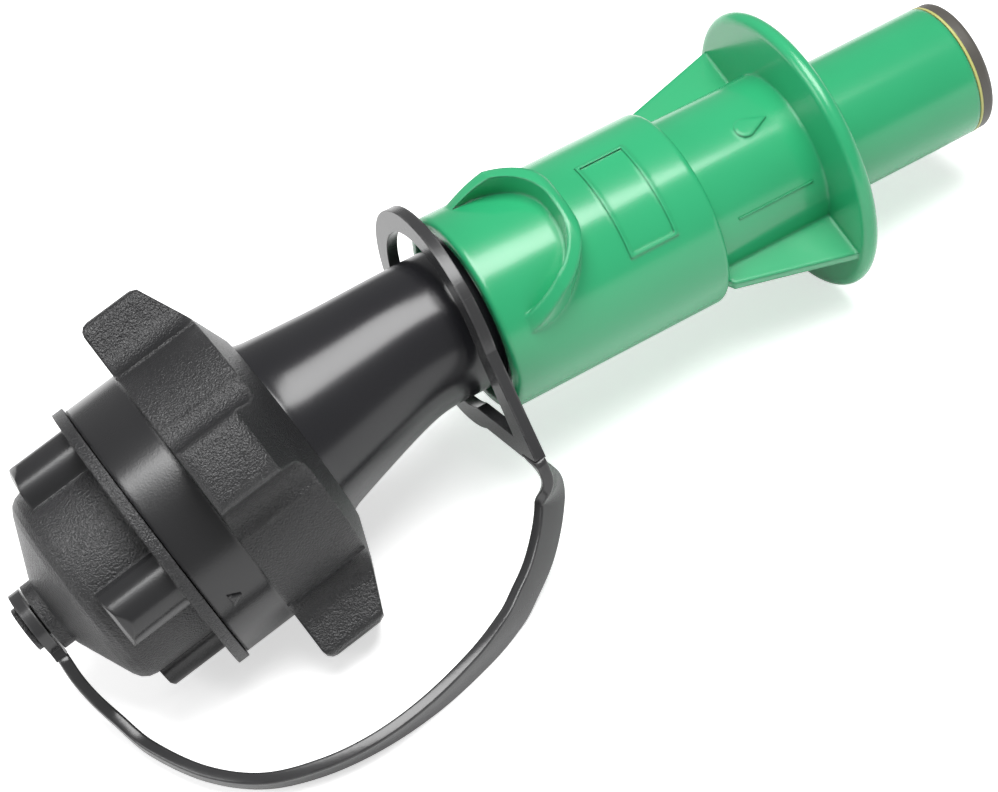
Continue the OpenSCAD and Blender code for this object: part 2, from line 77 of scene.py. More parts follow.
@dataclass(frozen=True)
class Axes:
    """The part's two working axes and where they meet.

    Attributes:
        lie: Dip of the sleeve's axis towards the bench, in degrees.
        bend: Angle between the nut's axis and the sleeve's, in degrees.
        bend_x: Distance of the bend behind the flange face, in metres.
    """

    lie: float = 5.4566
    bend: float = 13.0
    bend_x: float = 82 * MM

    def sleeve(self, along: float, across: float = 0.0, up: float = 0.0) -> Vector:
        """Place a point given along and across the sleeve's axis.

        Args:
            along: Distance from the flange face, towards the nose.
            across: Distance towards +Y.
            up: Distance upwards from the axis.

        Returns:
            The point in the frame of the bench.
        """
        return self.sleeve_turn() @ Vector((along, across, up))

    def nut(self, along: float, across: float = 0.0, up: float = 0.0) -> Vector:
        """Place a point given along and across the nut's axis.

        Args:
            along: Distance from the bend, towards the nose.
            across: Distance towards +Y.
            up: Distance upwards from the axis.

        Returns:
            The point in the frame of the bench.
        """
        return self.sleeve(-self.bend_x) + self.nut_turn() @ Vector((along, across, up))

    def sleeve_turn(self) -> Matrix:
        """Give the turn from the sleeve's own axes to the bench."""
        return Matrix.Rotation(math.radians(self.lie), 3, "Y")

    def nut_turn(self) -> Matrix:
        """Give the turn from the nut's own axes to the bench."""
        return Matrix.Rotation(math.radians(self.lie - self.bend), 3, "Y")


AXES = Axes()


# ---------------------------------------------------------------- shader helpers
@dataclass
class Wiring:
    """A node tree with short ways to add nodes, values and links."""

    tree: bpy.types.NodeTree

    def add(self, kind: str, **settings: object) -> bpy.types.Node:
        """Add a node and set its properties.

        Args:
            kind: The node's type name.
            settings: Properties of the node, by name.

        Returns:
            The new node.
        """
        node = self.tree.nodes.new(kind)
        for name, value in settings.items():
            setattr(node, name, value)
        return node

    def put(self, node: bpy.types.Node, **values: object) -> bpy.types.Node:
        """Set input sockets; an underscore in a name stands for a space.

        Args:
            node: The node whose inputs are set.
            values: A plain value or an output socket for each input.

        Returns:
            The same node.
        """
        for name, value in values.items():
            socket = node.inputs[name.replace("_", " ")]
            if isinstance(value, bpy.types.NodeSocket):
                self.tree.links.new(value, socket)
            else:
                socket.default_value = value
        return node

    def math(self, operation: str, *terms: object, clamp: bool = False) -> bpy.types.NodeSocket:
        """Add a Math node on the given terms.

        Args:
            operation: The operation's name.
            terms: Values or sockets, in order.
            clamp: Whether the result is held between 0 and 1.

        Returns:
            The result's socket.
        """
        node = self.add("ShaderNodeMath", operation=operation, use_clamp=clamp)
        for socket, term in zip(node.inputs, terms):
            if isinstance(term, bpy.types.NodeSocket):
                self.tree.links.new(term, socket)
            else:
                socket.default_value = term
        return node.outputs[0]

    def ramp(self, value: bpy.types.NodeSocket, low: float, high: float,
             start: float = 0.0, end: float = 1.0) -> bpy.types.NodeSocket:
        """Map a value smoothly from one range to another.

        Args:
            value: The socket to map.
            low: Value that gives start.
            high: Value that gives end.
            start: Result at low.
            end: Result at high.

        Returns:
            The mapped value's socket.
        """
        node = self.add("ShaderNodeMapRange", interpolation_type="SMOOTHSTEP")
        self.put(node, Value=value)
        node.inputs["From Min"].default_value = low
        node.inputs["From Max"].default_value = high
        node.inputs["To Min"].default_value = start
        node.inputs["To Max"].default_value = end
        return node.outputs["Result"]

    def blend(self, factor: bpy.types.NodeSocket, first: object, second: object) -> bpy.types.NodeSocket:
        """Mix two colours.

        Args:
            factor: 0 for the first colour, 1 for the second.
            first: A colour or a colour socket.
            second: A colour or a colour socket.

        Returns:
            The mixed colour's socket.
        """
        node = self.add("ShaderNodeMix", data_type="RGBA")
        colours = [s for s in node.inputs if s.type == "RGBA"]
        self.tree.links.new(factor, node.inputs[0])
        for socket, colour in zip(colours, (first, second)):
            if isinstance(colour, bpy.types.NodeSocket):
                self.tree.links.new(colour, socket)
            else:
                socket.default_value = colour
        return [s for s in node.outputs if s.type == "RGBA"][0]


@dataclass
class GroupLibrary:
    """Builds each shared node group once."""

    made: dict[Group, bpy.types.NodeTree] = field(default_factory=dict)

    def start(self, group: Group, inputs: dict[str, float], outputs: tuple[str, ...]) -> Wiring:
        """Begin a group with float inputs and outputs.

        Args:
            group: Which group.
            inputs: Default value of each input, by name.
            outputs: Names of the outputs.

        Returns:
            The group's wiring.
        """
        tree = bpy.data.node_groups.new(group.value, "ShaderNodeTree")
        for name, value in inputs.items():
            socket = tree.interface.new_socket(name=name, in_out="INPUT", socket_type="NodeSocketFloat")
            socket.default_value = value
        for name in outputs:
            tree.interface.new_socket(name=name, in_out="OUTPUT", socket_type="NodeSocketFloat")
        self.made[group] = tree
        return Wiring(tree)

    def build(self) -> None:
        """Build all the groups."""
        self.grain()
        self.edge_highlight()
        self.drift()

    def grain(self) -> None:
        """Fine pits and swells as a spark-eroded mould leaves them."""
        wire = self.start(Group.GRAIN, {"Scale": 1400.0, "Pits": 0.4}, ("Height",))
        source, sink = wire.add("NodeGroupInput"), wire.add("NodeGroupOutput")
        place = wire.add("ShaderNodeTexCoord").outputs["Object"]
        fine = wire.add("ShaderNodeTexNoise")
        wire.put(fine, Vector=place, Scale=source.outputs["Scale"], Detail=2.0, Roughness=0.55)
        cell = wire.add("ShaderNodeTexVoronoi", feature="SMOOTH_F1")
        wire.put(cell, Vector=place, Scale=wire.math("MULTIPLY", source.outputs["Scale"], 0.8))
        height = wire.math("ADD", fine.outputs[0],
                           wire.math("MULTIPLY", cell.outputs["Distance"], source.outputs["Pits"]))
        wire.tree.links.new(height, sink.inputs["Height"])

    def edge_highlight(self) -> None:
        """Mask of the edges, broken up by noise, where a highlight is painted into the colour."""
        wire = self.start(Group.EDGE_HIGHLIGHT, {"Breakup": 260.0, "Sharpness": 0.12}, ("Edge",))
        source, sink = wire.add("NodeGroupInput"), wire.add("NodeGroupOutput")
        bevel = wire.add("ShaderNodeBevel", samples=4)
        bevel.inputs["Radius"].default_value = 0.7 * MM
        plain = wire.add("ShaderNodeNewGeometry")
        dot = wire.add("ShaderNodeVectorMath", operation="DOT_PRODUCT")
        wire.tree.links.new(bevel.outputs[0], dot.inputs[0])
        wire.tree.links.new(plain.outputs["Normal"], dot.inputs[1])
        turned = wire.math("SUBTRACT", 1.0, dot.outputs["Value"], clamp=True)
        place = wire.add("ShaderNodeTexCoord").outputs["Object"]
        noise = wire.add("ShaderNodeTexNoise")
        wire.put(noise, Vector=place, Scale=source.outputs["Breakup"], Detail=4.0)
        edge = wire.math("DIVIDE", turned, source.outputs["Sharpness"], clamp=True)
        wire.tree.links.new(wire.math("MULTIPLY", edge, wire.ramp(noise.outputs[0], 0.42, 0.62)),
                            sink.inputs["Edge"])

    def drift(self) -> None:
        """Slow variation over a moulding, with a few fine handling scuffs."""
        wire = self.start(Group.DRIFT, {"Scale": 28.0, "Stretch": 9.0}, ("Drift", "Scuff"))
        source, sink = wire.add("NodeGroupInput"), wire.add("NodeGroupOutput")
        place = wire.add("ShaderNodeTexCoord").outputs["Object"]
        slow = wire.add("ShaderNodeTexNoise")
        wire.put(slow, Vector=place, Scale=source.outputs["Scale"], Detail=3.0)
        squeeze = wire.add("ShaderNodeMapping")
        wire.put(squeeze, Vector=place)
        squeeze.inputs["Rotation"].default_value = (0.4, 0.9, 0.3)
        squeeze.inputs["Scale"].default_value = (1.0, 9.0, 14.0)
        lines = wire.add("ShaderNodeTexNoise")
        wire.put(lines, Vector=squeeze.outputs[0], Detail=6.0, Roughness=0.7,
                 Scale=wire.math("MULTIPLY", source.outputs["Scale"], source.outputs["Stretch"]))
        wire.tree.links.new(wire.ramp(slow.outputs[0], 0.3, 0.7), sink.inputs["Drift"])
        wire.tree.links.new(wire.ramp(lines.outputs[0], 0.6, 0.78), sink.inputs["Scuff"])

    def place(self, wire: Wiring, group: Group, **values: float) -> bpy.types.Node:
        """Put a group into a material.

        Args:
            wire: The material's wiring.
            group: Which group.
            values: Its input values, by name.

        Returns:
            The group's node.
        """
        node = wire.add("ShaderNodeGroup", node_tree=self.made[group])
        return wire.put(node, **values)


LIBRARY = GroupLibrary()


# ---------------------------------------------------------------- finishes
@dataclass(frozen=True)
class Finish:
    """One finish of the spout, made into a material.

    Attributes:
        name: The material's name.
        colour: Base colour, linear.
        drift_colour: Colour that the base drifts towards.
        edge_highlight_colour: Lighter colour painted along edges as a highlight.
        gloss: Roughness of the clean surface.
        gloss_drift: How much rougher the surface gets where it drifts or is scuffed.
        grain: Height of the grain, in metres.
        grain_scale: Grains per metre.
        rounding: Radius that moulded edges are softened by, in metres.
        metallic: 1 for bare metal.
        coat: Weight of a clear skin.
        sheen_roughness: Roughness of that clear skin.
        smooth_region: Where the moulding is polished instead of grained.
        smooth_gloss: Roughness of the polished region.
        edge_highlight_strength: Strength of the highlight painted along edges; it also makes them a little
            rougher.
        specular: Specular level.
    """

    name: str
    colour: tuple[float, float, float]
    drift_colour: tuple[float, float, float]
    edge_highlight_colour: tuple[float, float, float]
    gloss: float
    gloss_drift: float = 0.06
    grain: float = 0.0
    grain_scale: float = 1400.0
    rounding: float = 0.5 * MM
    metallic: float = 0.0
    coat: float = 0.0
    sheen_roughness: float = 0.15
    smooth_region: Region = Region.NONE
    smooth_gloss: float = 0.2
    edge_highlight_strength: float = 0.5
    specular: float = 0.5

    def material(self) -> bpy.types.Material:
        """Build the material.

        Returns:
            The new material.
        """
        material = bpy.data.materials.new(self.name)
        material.use_nodes = True
        material.diffuse_color = (*self.colour, 1.0)
        wire = Wiring(material.node_tree)
        shader = material.node_tree.nodes["Principled BSDF"]
        shader.inputs["Metallic"].default_value = self.metallic
        shader.inputs["Specular IOR Level"].default_value = self.specular
        shader.inputs["Coat Weight"].default_value = self.coat
        shader.inputs["Coat Roughness"].default_value = self.sheen_roughness

        drift = LIBRARY.place(wire, Group.DRIFT)
        highlight_edges = LIBRARY.place(wire, Group.EDGE_HIGHLIGHT)
        grain = LIBRARY.place(wire, Group.GRAIN, Scale=self.grain_scale)
        tone = wire.blend(drift.outputs["Drift"], (*self.colour, 1.0), (*self.drift_colour, 1.0))
        # The edge mask paints a lighter highlight colour along edges and makes them a little rougher.
        edge = wire.math("MULTIPLY", highlight_edges.outputs["Edge"], self.edge_highlight_strength)
        wire.put(shader, Base_Color=wire.blend(edge, tone, (*self.edge_highlight_colour, 1.0)))

        smooth = self.region_mask(wire)
        rough = wire.math("ADD", self.gloss, wire.math("MULTIPLY", drift.outputs["Drift"], self.gloss_drift))
        rough = wire.math("ADD", rough, wire.math("MULTIPLY", drift.outputs["Scuff"], self.gloss_drift * 1.5))
        if smooth is not None:
            polished = wire.math("ADD", self.smooth_gloss,
                                 wire.math("MULTIPLY", drift.outputs["Scuff"], self.gloss_drift))
            rough = self.between(wire, smooth, rough, polished)
        wire.put(shader, Roughness=wire.math("ADD", rough, wire.math("MULTIPLY", edge, 0.12), clamp=True))
        wire.put(shader, Normal=self.normal(wire, grain, smooth))
        return material

    @staticmethod
    def between(wire: Wiring, mask: bpy.types.NodeSocket, first: bpy.types.NodeSocket,
                second: bpy.types.NodeSocket) -> bpy.types.NodeSocket:
        """Go from a first value to a second by a mask.

        Args:
            wire: The material's wiring.
            mask: 0 for the first value, 1 for the second.
            first: The first value.
            second: The second value.

        Returns:
            The mixed value's socket.
        """
        return wire.math("ADD", wire.math("MULTIPLY", first, wire.math("SUBTRACT", 1.0, mask)),
                         wire.math("MULTIPLY", second, mask))

    def normal(self, wire: Wiring, grain: bpy.types.Node,
               smooth: bpy.types.NodeSocket | None) -> bpy.types.NodeSocket:
        """Soften the moulded edges and raise the grain on them.

        Args:
            wire: The material's wiring.
            grain: The grain group's node.
            smooth: Mask of the polished region, if there is one.

        Returns:
            The normal's socket.
        """
        soft = wire.add("ShaderNodeBevel", samples=6)
        soft.inputs["Radius"].default_value = self.rounding
        height = grain.outputs["Height"]
        if smooth is not None:
            height = wire.math("MULTIPLY", height, wire.ramp(smooth, 0.0, 1.0, 1.0, 0.04))
        bump = wire.add("ShaderNodeBump")
        bump.inputs["Distance"].default_value = max(self.grain, 2e-6)
        bump.inputs["Strength"].default_value = 1.0
        wire.put(bump, Height=height, Normal=soft.outputs[0])
        return bump.outputs[0]

    def region_mask(self, wire: Wiring) -> bpy.types.NodeSocket | None:
        """Mask the polished region of a moulding on the nut's axis.

        Args:
            wire: The material's wiring.

        Returns:
            A socket that is 1 where the moulding is polished, or None.
        """
        if self.smooth_region is Region.NONE:
            return None
        place = wire.add("ShaderNodeTexCoord").outputs["Object"]
        away = wire.add("ShaderNodeVectorMath", operation="SUBTRACT")
        wire.tree.links.new(place, away.inputs[0])
        away.inputs[1].default_value = AXES.nut(0.0)
        axis = AXES.nut_turn() @ Vector((1.0, 0.0, 0.0))
        along = wire.add("ShaderNodeVectorMath", operation="DOT_PRODUCT")
        wire.tree.links.new(away.outputs[0], along.inputs[0])
        along.inputs[1].default_value = axis
        length = wire.add("ShaderNodeVectorMath", operation="DOT_PRODUCT")
        wire.tree.links.new(away.outputs[0], length.inputs[0])
        wire.tree.links.new(away.outputs[0], length.inputs[1])
        u = along.outputs["Value"]
        radius = wire.math("SQRT", wire.math("MAXIMUM", 0.0, wire.math(
            "SUBTRACT", length.outputs["Value"], wire.math("MULTIPLY", u, u))))
        if self.smooth_region is Region.NUT_SKIRT:
            return wire.ramp(u, *SKIRT_STARTS)
        ahead = wire.ramp(u, *LOBES_START)
        outside = wire.ramp(radius, *LOBES_OUTSIDE)
        return wire.math("MULTIPLY", ahead, outside)


GREEN = Finish("Green moulded plastic", (0.026, 0.35, 0.147), (0.022, 0.32, 0.132), (0.09, 0.46, 0.24),
               gloss=0.2, gloss_drift=0.04, grain=3e-6, grain_scale=900.0, rounding=1.0 * MM,
               coat=0.15, sheen_roughness=0.1, edge_highlight_strength=0.25)
GLOSS = Finish("Black glossy plastic", (0.01, 0.01, 0.012), (0.013, 0.013, 0.015), (0.12, 0.12, 0.12),
               gloss=0.17, gloss_drift=0.05, grain=3e-6, grain_scale=900.0, rounding=0.6 * MM, edge_highlight_strength=0.3)
NUT_GRAIN = Finish("Black grained plastic, nut", (0.015, 0.015, 0.016), (0.019, 0.019, 0.02),
                   (0.11, 0.11, 0.11), gloss=0.3, gloss_drift=0.04, grain=2.4e-4, grain_scale=3000.0,
                   rounding=1.0 * MM,
                   smooth_region=Region.NUT_SKIRT, smooth_gloss=0.22, edge_highlight_strength=0.35)
CAP_GRAIN = Finish("Black grained plastic, cap", (0.015, 0.015, 0.016), (0.019, 0.019, 0.02),
                   (0.11, 0.11, 0.11), gloss=0.3, gloss_drift=0.04, grain=2.4e-4, grain_scale=3000.0,
                   rounding=0.6 * MM,
                   smooth_region=Region.CAP_LOBES, smooth_gloss=0.22, edge_highlight_strength=0.35)
HEAD = Finish("Dark satin plastic", (0.06, 0.056, 0.05), (0.08, 0.074, 0.064), (0.2, 0.19, 0.17),
              gloss=0.42, grain=1.5e-5, grain_scale=1500.0, edge_highlight_strength=0.4)
TETHER = Finish("Soft black plastic", (0.026, 0.026, 0.027), (0.034, 0.034, 0.035), (0.14, 0.14, 0.14),
                gloss=0.2, gloss_drift=0.05, grain=1.2e-5, grain_scale=1100.0, rounding=0.3 * MM, edge_highlight_strength=0.4)
RUBBER = Finish("Black rubber", (0.015, 0.015, 0.015), (0.022, 0.022, 0.022), (0.05, 0.05, 0.05),
                gloss=0.6, grain=8e-6, edge_highlight_strength=0.3)
SEAL = Finish("Yellow seal rubber", (0.52, 0.52, 0.17), (0.45, 0.45, 0.14), (0.7, 0.66, 0.35),
              gloss=0.45, grain=6e-6, edge_highlight_strength=0.3)
STEEL = Finish("Drawn spring steel", (0.56, 0.57, 0.59), (0.48, 0.49, 0.5), (0.8, 0.8, 0.8),
               gloss=0.28, gloss_drift=0.1, grain=4e-6, metallic=1.0, edge_highlight_strength=0.4)


@dataclass
class FrameDresser:
    """Gives every node carried over from the solid model its finish."""

    finishes: dict[str, Finish] = field(default_factory=lambda: {
        "sleeve": GREEN, "guide_bush": GLOSS, "wiper_seal": RUBBER, "spring_washer": STEEL,
        "neck": GLOSS, "pouring_tube": GLOSS, "valve_head": HEAD, "face_seal": SEAL,
        "air_tube": GLOSS, "tube_spiders": GLOSS, "stop_ring": STEEL, "return_spring": STEEL,
        "spring_seat": STEEL, "inlet_strainer": STEEL, "neck_gasket": RUBBER,
        "union_nut": NUT_GRAIN, "storage_cap": CAP_GRAIN, "cap_gasket": RUBBER,
        "tether_neck_ring": TETHER, "tether_stud_ring": TETHER, "tether_strap": TETHER})
    made: dict[str, bpy.types.Material] = field(default_factory=dict)

    def of(self, finish: Finish) -> bpy.types.Material:
        """Give a finish's material, built the first time.

        Args:
            finish: The finish.

        Returns:
            Its material.
        """
        if finish.name not in self.made:
            self.made[finish.name] = finish.material()
        return self.made[finish.name]

    def dress(self) -> None:
        """Assign the finishes to the frame's nodes."""
        for name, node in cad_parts.items():
            material = self.of(self.finishes[name])
            if not node.material_slots:
                node.data.materials.append(material)
            for place in node.material_slots:
                place.material = material
        LOG.info("dressed %d nodes", len(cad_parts))


DRESSER = FrameDresser()


# ---------------------------------------------------------------- tether
@dataclass
class Tether:
    """Flat flexible strap between the neck ring and the cap's stud ring.

    Attributes:
        thickness: Thickness of the strap.
        width: Width of the strap.
        corner: Radius of its long edges.
        gap: Space between the solid strap and each ring.
        overlap: How far the moulded strap runs past that, into the ring's tab.
        neck_turn: Where the neck ring's tab points, in degrees from the top.
        neck_reach: Distance of that tab's end from the ring's middle.
        neck_shift: How far the loose neck ring hangs off the axis, both ways.
        neck_place: Place of the neck ring along the sleeve's axis.
        stud_turn: Where the stud ring's tab points, in degrees from the top.
        stud_reach: Distance of that tab's end from the stud's axis.
        stud_place: Place of the stud ring along the nut's axis.
        dip: Direction in which it leaves the neck ring.
        course: How far along, and how far off the straight line, in millimetres.
        lean: Direction of the width, from a point of the course on.
        part_at: Place on the course where the two halves meet.
        steps: Rings of points between two points of the course.
    """

    thickness: float = 2.1 * MM
    width: float = 6.0 * MM
    corner: float = 0.42 * MM
    gap: float = 0.65 * MM
    overlap: float = 1.05 * MM
    neck_turn: float = 115.0
    neck_reach: float = 31.0 * MM
    neck_shift: float = 1.0 * MM
    neck_place: float = -72.85 * MM
    stud_turn: float = 142.0
    stud_reach: float = 7.4 * MM
    stud_place: float = -77.55 * MM
    dip: tuple[float, float, float] = (0.0, -0.45, -0.89)
    course: tuple[tuple[float, float, float], ...] = (
        (0, 0, 0), (-0.006, -1.1, -4.1), (0.008, -1.5, -8.6), (0.044, -4.4, -12), (0.094, -8.3, -14.6),
        (0.15, -12, -16.4), (0.21, -16.1, -17.2), (0.308, -21.7, -17.1), (0.44, -27.4, -16.8),
        (0.571, -31, -16.4), (0.69, -31.8, -16.1), (0.797, -29.7, -15.8), (0.882, -23.3, -15.4),
        (0.944, -13.5, -14.7), (0.972, -7.2, -11.2), (0.989, -4.3, -7.2), (0.998, -2.2, -3.2), (1, 0, 0))
    lean: tuple[tuple[float, tuple[float, float, float]], ...] = (
        (0, (0, -0.89, 0.45)), (1, (-0.4, -0.62, 0.66)), (2, (-0.71, -0.2, 0.67)),
        (5, (-0.62, -0.3, 0.75)), (8, (-0.45, -0.4, 0.8)), (10, (-0.1, -0.5, 0.85)),
        (13, (0, -0.62, 0.78)), (17, (0, -0.79, 0.62)))
    part_at: float = 9.0
    steps: int = 8

    def ends(self) -> tuple[Vector, Vector]:
        """Give the strap's two ends, where the rings' tabs stop."""
        turn = math.radians(self.neck_turn)
        start = AXES.sleeve(self.neck_place, self.neck_shift - self.neck_reach * math.sin(turn),
                            self.neck_shift + self.neck_reach * math.cos(turn))
        start += self.gap * Vector(self.dip)
        turn = math.radians(self.stud_turn)
        reach = self.stud_reach + self.gap
        return start, AXES.nut(self.stud_place, -reach * math.sin(turn), reach * math.cos(turn))

    def route(self) -> list[Vector]:
        """Give the strap's middle line as points."""
        start, end = self.ends()
        return [start + c[0] * (end - start) + Vector((0, c[1], c[2])) * MM for c in self.course]

    def middle(self, route: list[Vector], u: float) -> Vector:
        """Give a point of the smooth curve through the route.

        Args:
            route: The route's points.
            u: Place on it, from 0 to its last index.

        Returns:
            The point.
        """
        last = len(route) - 1
        i = min(int(u), last - 1)
        t = u - i
        a, b = route[max(0, i - 1)], route[i]
        c, d = route[i + 1], route[min(last, i + 2)]
        return 0.5 * (2 * b + (c - a) * t + (2 * a - 5 * b + 4 * c - d) * t * t
                      + (3 * b - a - 3 * c + d) * t ** 3)

    def width_way(self, u: float) -> Vector:
        """Give the direction of the width at a place on the route."""
        for (u0, way0), (u1, way1) in zip(self.lean, self.lean[1:]):
            if u <= u1:
                return Vector(way0).lerp(Vector(way1), (u - u0) / (u1 - u0))
        return Vector(self.lean[-1][1])

    def section(self) -> list[tuple[float, float]]:
        """Give the strap's rounded cross-section as points of width and thickness."""
        half_w, half_t, r = self.width / 2, self.thickness / 2, self.corner
        corners = ((1, 1, 0), (-1, 1, 90), (-1, -1, 180), (1, -1, 270))
        return [(sx * (half_w - r) + r * math.cos(math.radians(start + step)),
                 sy * (half_t - r) + r * math.sin(math.radians(start + step)))
                for sx, sy, start in corners for step in (0, 22.5, 45, 67.5, 90)]

    def length(self) -> float:
        """Measure the strap along its middle line."""
        route = self.route()
        places = [self.middle(route, i / self.steps) for i in range(self.steps * (len(route) - 1) + 1)]
        return sum((q - p).length for p, q in zip(places, places[1:]))

    def sweep(self, name: str, first: float, last: float,
              cap_first: bool, cap_last: bool) -> bpy.types.Object:
        """Sweep the section along part of the route.

        Args:
            name: The piece's name.
            first: Place on the route where it starts.
            last: Place on the route where it ends.
            cap_first: Whether the start runs on into a ring's tab.
            cap_last: Whether the end runs on into a ring's tab.

        Returns:
            The new object.
        """
        route = self.route()
        top = len(route) - 1
        count = max(2, int(round((last - first) * self.steps)))
        mesh, shape = bmesh.new(), self.section()
        rings = []
        for i in range(count + 1):
            u = first + (last - first) * i / count
            point = self.middle(route, u)
            ahead = self.middle(route, min(top, u + 0.05)) - self.middle(route, max(0.0, u - 0.05))
            ahead.normalize()
            if cap_first and i == 0:
                point = point - ahead * self.overlap
            if cap_last and i == count:
                point = point + ahead * self.overlap
            side = self.width_way(u).cross(ahead).normalized()
            across = ahead.cross(side)
            rings.append([mesh.verts.new(point + across * w + side * t) for w, t in shape])
        size = len(shape)
        for one, two in zip(rings, rings[1:]):
            for k in range(size):
                mesh.faces.new((one[k], one[(k + 1) % size], two[(k + 1) % size], two[k]))
        if cap_first:
            mesh.faces.new(rings[0])
        if cap_last:
            mesh.faces.new(list(reversed(rings[-1])))
        bmesh.ops.recalc_face_normals(mesh, faces=mesh.faces)
        for face in mesh.faces:
            face.smooth = len(face.verts) == 4
        return new_object(name, mesh)

    def build(self) -> None:
        """Make the strap in two halves."""
        route = self.route()
        front = self.sweep("strap_neck_half", 0.0, self.part_at, True, False)
        rear = self.sweep("strap_cap_half", self.part_at, float(len(route) - 1), False, True)
        material = DRESSER.of(TETHER)
        for piece in (front, rear):
            piece.data.materials.append(material)
        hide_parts("tether_strap")
        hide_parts("tether_strap")
        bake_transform(front)
        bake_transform(rear)
        LOG.info("strap is %.1f mm long", self.length() / MM)


@dataclass
class Neck:
    """The neck as one smooth moulding round its bend.

    Attributes:
        wall: Thickness of the wall.
        mouth: Place of the mouth's face from the bend.
        mouth_bore: Radius of the passage at the mouth.
        throat: Widest outside radius that the passage follows.
        tube_bore: Radius of the hole that takes the pouring tube.
        tube_from: Place from the bend where that hole begins.
        ease: How far on each side of the corner the bend is eased.
        outline: Places from the bend, and the outside radius there.
        around: Points round each ring.
    """

    wall: float = 2.2 * MM
    mouth: float = -31.15 * MM
    mouth_bore: float = 15.6 * MM
    throat: float = 17.8 * MM
    tube_bore: float = 10.25 * MM
    tube_from: float = 10.0 * MM
    ease: float = 6.5 * MM
    outline: tuple[tuple[float, float], ...] = (
        (-31.15, 21.5), (-28.3, 21.5), (-28.2, 21.4), (-28.2, 17.8), (-27.0, 17.8), (-25.0, 17.8),
        (-23.4, 17.75), (-22.6, 17.45), (-21.6, 17.1), (-19.0, 16.55), (-16.0, 15.95), (-13.0, 15.38),
        (-10.0, 14.82), (-8.0, 14.47), (-6.0, 14.15), (-4.5, 13.93), (-3.0, 13.73), (-1.5, 13.56),
        (0.0, 13.42), (1.5, 13.32), (3.0, 13.25), (5.0, 13.21), (8.0, 13.2), (16.0, 13.2),
        (29.6, 13.2), (29.8, 13.0))
    around: int = 96

    def spine(self, along: float) -> tuple[Vector, Matrix]:
        """Give the neck's middle line and its turn at a place.

        Args:
            along: Distance from the bend; negative towards the nut.

        Returns:
            The point on the middle line and the turn of a section there.
        """
        share = min(1.0, max(0.0, (along + self.ease) / (2 * self.ease)))
        share = share * share * (3 - 2 * share)
        turn = Matrix.Rotation(math.radians(AXES.lie - AXES.bend * (1 - share)), 3, "Y")
        if along <= -self.ease:
            return AXES.nut(along), turn
        if along >= self.ease:
            return AXES.sleeve(along - AXES.bend_x), turn
        start, end = AXES.nut(-self.ease), AXES.sleeve(self.ease - AXES.bend_x)
        corner, t = AXES.nut(0.0), (along + self.ease) / (2 * self.ease)
        return start.lerp(corner, t).lerp(corner.lerp(end, t), t), turn

    def ring(self, mesh: bmesh.types.BMesh, along: float, radius: float) -> list[bmesh.types.BMVert]:
        """Add one ring of points round the middle line."""
        point, turn = self.spine(along)
        return [mesh.verts.new(point + turn @ Vector((0.0, radius * math.sin(a), radius * math.cos(a))))
                for a in (2 * math.pi * k / self.around for k in range(self.around))]

    def build(self) -> None:
        """Make the neck: outside, mouth, passage and front end, closed into one shell."""
        mesh = bmesh.new()
        outside = [(a * MM, r * MM) for a, r in self.outline]
        inside = [(a, min(r, self.throat) - self.wall) for a, r in reversed(outside) if a > -28 * MM]
        inside.append((self.mouth, self.mouth_bore))
        inside = [(a, min(r, self.tube_bore) if a > self.tube_from else r) for a, r in inside]
        rings = [self.ring(mesh, a, r) for a, r in outside + inside]
        for one, two in zip(rings, rings[1:] + rings[:1]):
            for k in range(self.around):
                j = (k + 1) % self.around
                mesh.faces.new((one[k], one[j], two[j], two[k]))
        bmesh.ops.recalc_face_normals(mesh, faces=mesh.faces)
        for edge in mesh.edges:
            if len(edge.link_faces) == 2 and edge.calc_face_angle(0.0) > math.radians(35):
                edge.smooth = False
        for face in mesh.faces:
            face.smooth = True
        neck = new_object("neck_moulding", mesh)
        neck.data.materials.append(DRESSER.of(GLOSS))
        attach(neck, "spout_core")
        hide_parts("neck")
        LOG.info("neck done")


@dataclass
class ReturnSpring:
    """Coil spring between the neck's seat and the sleeve's web, which shortens as the sleeve moves.

    Attributes:
        radius: Radius of the coil's middle line.
        wire: Thickness of the wire.
        turns: Number of turns.
        rear: Place of its rear end along the sleeve's axis.
        front: Place of its front end.
        per_turn: Rings of points in one turn.
        around: Points round the wire.
    """

    radius: float = 13.3 * MM
    wire: float = 1.2 * MM
    turns: float = 7.0
    rear: float = -51.2 * MM
    front: float = -28.0 * MM
    per_turn: int = 40
    around: int = 10

    def centre(self, share: float) -> Vector:
        """Give a point of the wire's middle line, from 0 at the rear to 1 at the front."""
        a = 2 * math.pi * self.turns * share
        low, high = self.rear + 0.6 * self.wire, self.front - 0.6 * self.wire
        return AXES.sleeve(low + share * (high - low), self.radius * math.cos(a), self.radius * math.sin(a))

    def build(self) -> None:
        """Make the spring."""
        mesh, rings = bmesh.new(), []
        count = int(self.turns * self.per_turn)
        axis = AXES.sleeve_turn() @ Vector((1.0, 0.0, 0.0))
        for i in range(count + 1):
            point = self.centre(i / count)
            ahead = (self.centre((i + 1) / count) - self.centre((i - 1) / count)).normalized()
            side = ahead.cross(axis).normalized()
            up = side.cross(ahead)
            rings.append([mesh.verts.new(point + (side * math.cos(a) + up * math.sin(a)) * self.wire / 2)
                          for a in (2 * math.pi * k / self.around for k in range(self.around))])
        for one, two in zip(rings, rings[1:]):
            for k in range(self.around):
                j = (k + 1) % self.around
                mesh.faces.new((one[k], one[j], two[j], two[k]))
        mesh.faces.new(rings[0])
        mesh.faces.new(list(reversed(rings[-1])))
        bmesh.ops.recalc_face_normals(mesh, faces=mesh.faces)
        for face in mesh.faces:
            face.smooth = len(face.verts) == 4
        spring = new_object("spring_coil", mesh)
        spring.data.materials.append(DRESSER.of(STEEL))
        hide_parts("return_spring")
        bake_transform(spring)
        LOG.info("spring done")


